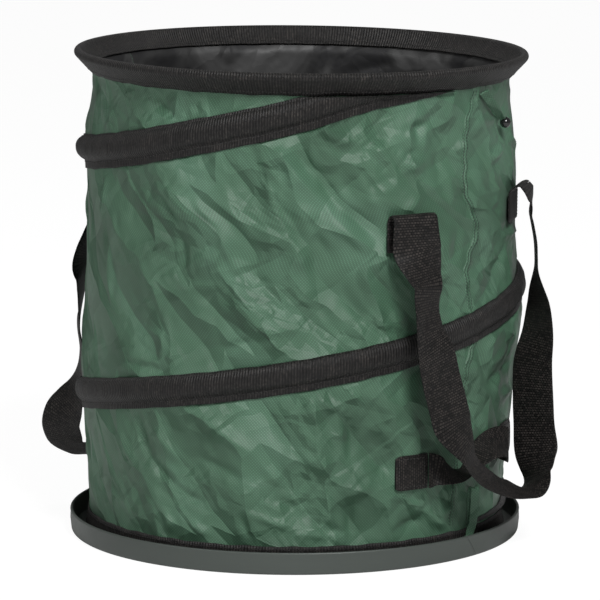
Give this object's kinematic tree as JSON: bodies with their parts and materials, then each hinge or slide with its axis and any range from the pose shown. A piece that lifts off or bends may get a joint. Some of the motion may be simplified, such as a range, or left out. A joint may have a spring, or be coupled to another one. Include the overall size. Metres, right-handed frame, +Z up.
{
  "type": "pop up leaf bag",
  "caption": "Open fabric drum on a shallow tray, held up by a coiled spring wire, with long carry loops and short grab straps; it presses down flat.",
  "frame": {"origin": "centre of the tray's underside, on the floor that the bag stands on", "axes": "+Z up; +X through the right side seam, between the ends of the right handles; -Y towards the front panel"},
  "size_m": [0.5841, 0.46, 0.495],
  "materials": {
    "green_fabric": "woven, soft sheen",
    "coated_lining": "coated, slightly glossy",
    "black_tape": "ribbed tape, matt",
    "black_webbing": "woven webbing, matt",
    "tray_plastic": "satin",
    "black_plastic": "gloss",
    "spring_steel": "drawn wire",
    "zinc_steel": "zinc plated"
  },
  "bodies": {
    "base": {"base_tray": "tray_plastic", "floor_panel": "coated_lining", "tray_rivet_1": "zinc_steel", "tray_rivet_2": "zinc_steel", "tray_rivet_3": "zinc_steel", "tray_rivet_4": "zinc_steel", "bottom_binding": "black_tape", "bottom_hoop": "spring_steel", "bottom_ferrule": "zinc_steel", "front_panel": "green_fabric", "back_panel": "green_fabric", "spiral_spring": "spring_steel", "spiral_casing": "black_tape", "dump_sewn_end_right_front": "black_webbing", "dump_sewn_end_right_back": "black_webbing", "dump_handle_right": "black_webbing", "dump_sewn_end_left_back": "black_webbing", "dump_sewn_end_left_front": "black_webbing", "dump_handle_left": "black_webbing"},
    "top_rim": {"rim_binding": "black_tape", "top_hoop": "spring_steel", "top_ferrule": "zinc_steel"},
    "carry_anchor_right": {"carry_sewn_end_right_front": "black_webbing", "carry_sewn_end_right_back": "black_webbing"},
    "carry_anchor_left": {"carry_sewn_end_left_back": "black_webbing", "carry_sewn_end_left_front": "black_webbing"},
    "carry_swing_right": {"carry_handle_right": "black_webbing"},
    "carry_swing_left": {"carry_handle_left": "black_webbing"},
    "toggle_right": {"toggle_strip_right": "green_fabric", "toggle_bead_right": "black_plastic"},
    "toggle_left": {"toggle_strip_left": "green_fabric", "toggle_bead_left": "black_plastic"},
    "closure_right": {"closure_loop_right": "green_fabric"},
    "closure_left": {"closure_loop_left": "green_fabric"}
  },
  "joints": [
    {"name": "collapse", "type": "slide", "parent": "base", "child": "top_rim", "axis": [0, 0, -1], "range_m": [0, 0.4], "stiffness_N_per_m": 100, "springref_m": -0.1, "deforming": ["front_panel", "back_panel", "spiral_spring", "spiral_casing", "dump_sewn_end_right_front", "dump_sewn_end_right_back", "dump_handle_right", "dump_sewn_end_left_back", "dump_sewn_end_left_front", "dump_handle_left"]},
    {"name": "carry_drop_right", "type": "slide", "parent": "base", "child": "carry_anchor_right", "axis": [0, 0, -1], "range_m": [0, 0.2921]},
    {"name": "carry_drop_left", "type": "slide", "parent": "base", "child": "carry_anchor_left", "axis": [0, 0, -1], "range_m": [0, 0.2621]},
    {"name": "carry_swing_right", "type": "hinge", "parent": "carry_anchor_right", "child": "carry_swing_right", "pos_m": [0.21111, 0, 0.353], "axis": [0, -0.9958, -0.0911], "range_deg": [0, 120]},
    {"name": "carry_swing_left", "type": "hinge", "parent": "carry_anchor_left", "child": "carry_swing_left", "pos_m": [-0.21111, 0, 0.30987], "axis": [0, 1, 0], "range_deg": [0, 120]},
    {"name": "toggle_swing_right", "type": "hinge", "parent": "top_rim", "child": "toggle_right", "pos_m": [0.21196, 0.01854, 0.4697], "axis": [0.0872, -0.9962, 0], "range_deg": [0, 90]},
    {"name": "toggle_swing_left", "type": "hinge", "parent": "top_rim", "child": "toggle_left", "pos_m": [-0.21196, -0.01854, 0.4697], "axis": [-0.0872, 0.9962, 0], "range_deg": [0, 90]},
    {"name": "closure_lean_right", "type": "hinge", "parent": "base", "child": "closure_right", "pos_m": [0.21842, -0.00381, 0.0278], "axis": [0.0174, 0.9998, 0], "range_deg": [0, 30]},
    {"name": "closure_lean_left", "type": "hinge", "parent": "base", "child": "closure_left", "pos_m": [-0.21842, 0.00381, 0.0278], "axis": [-0.0174, -0.9998, 0], "range_deg": [0, 30]}
  ],
  "couplings": [
    {"joint": "carry_drop_right", "follows": "collapse", "ratio": 0.73},
    {"joint": "carry_drop_left", "follows": "collapse", "ratio": 0.655}
  ]
}
